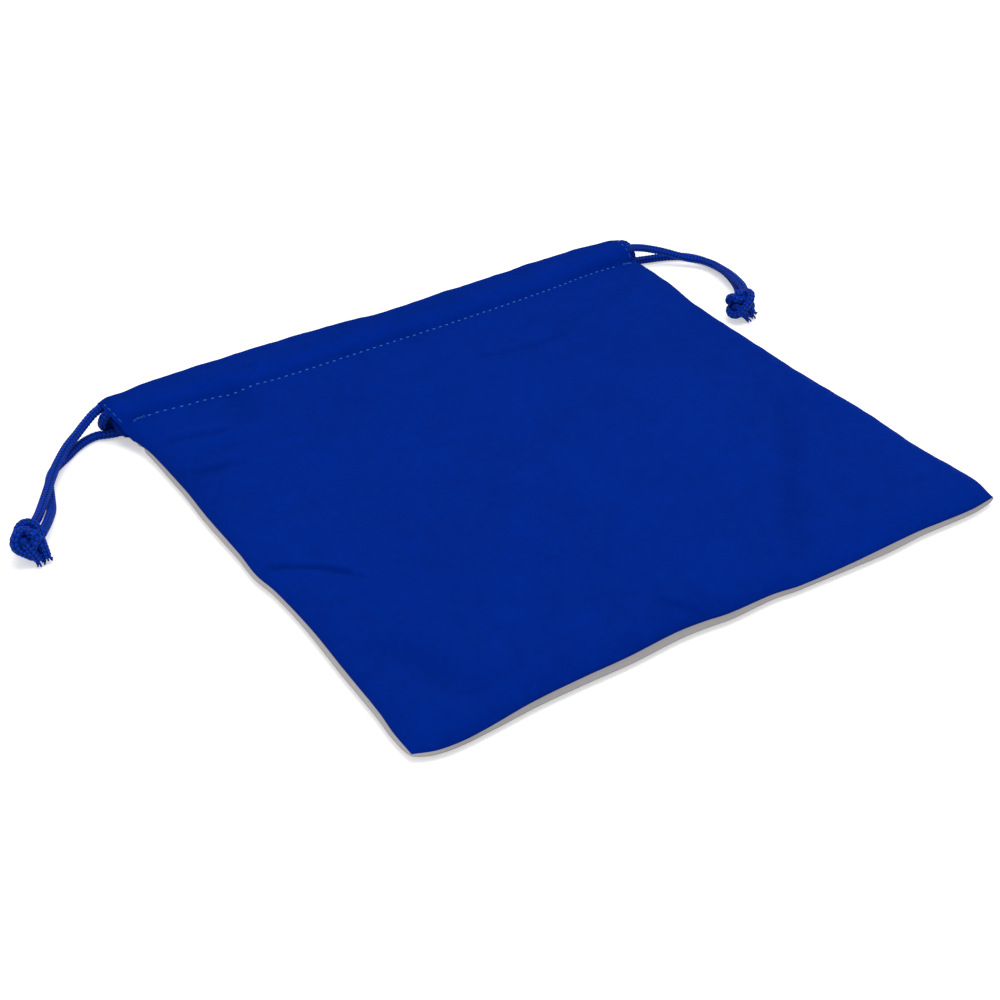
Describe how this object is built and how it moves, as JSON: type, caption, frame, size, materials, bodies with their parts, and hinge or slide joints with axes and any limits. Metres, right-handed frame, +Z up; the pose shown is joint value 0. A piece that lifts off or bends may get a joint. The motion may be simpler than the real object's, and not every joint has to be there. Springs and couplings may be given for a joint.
{
  "type": "drawstring pouch",
  "caption": "Flat rectangular cloth pouch whose open mouth has a casing along each side, closed by drawcords that leave at opposite ends.",
  "frame": {"origin": "under the middle of the pouch, without its cords, on the surface it lies on", "axes": "+X along the mouth towards the right drawcord's knot, +Y out of the mouth, +Z up through the blue front panel"},
  "size_m": [0.2923, 0.192, 0.0131],
  "materials": {
    "blue_cloth": "fine plain weave with a soft sheen",
    "grey_cloth": "fine plain weave, matte",
    "blue_cord": "knitted cord with a satin lustre",
    "teal_thread": "twisted sewing thread"
  },
  "bodies": {
    "pouch": {"front_panel": "blue_cloth", "back_panel": "grey_cloth", "front_casing": "blue_cloth", "back_casing": "blue_cloth", "front_casing_stitching": "teal_thread", "back_casing_stitching": "teal_thread", "front_left_slit_stitching": "teal_thread", "front_right_slit_stitching": "teal_thread", "back_left_slit_stitching": "teal_thread", "back_right_slit_stitching": "teal_thread", "left_bar_tack": "teal_thread", "right_bar_tack": "teal_thread", "left_side_seam": "teal_thread", "right_side_seam": "teal_thread", "bottom_seam": "teal_thread"},
    "left_cord": {"left_drawcord": "blue_cord", "left_knot": "blue_cord"},
    "right_cord": {"right_drawcord": "blue_cord", "right_knot": "blue_cord"}
  },
  "joints": [
    {"name": "left_cord_pull", "type": "slide", "parent": "pouch", "child": "left_cord", "axis": [-1, 0, 0], "range_m": [0, 0.055], "deforming": ["front_casing", "back_casing", "back_right_slit_stitching"]},
    {"name": "right_cord_pull", "type": "slide", "parent": "pouch", "child": "right_cord", "axis": [1, 0, 0], "range_m": [0, 0.055], "deforming": ["front_casing", "back_casing", "back_left_slit_stitching"]}
  ]
}
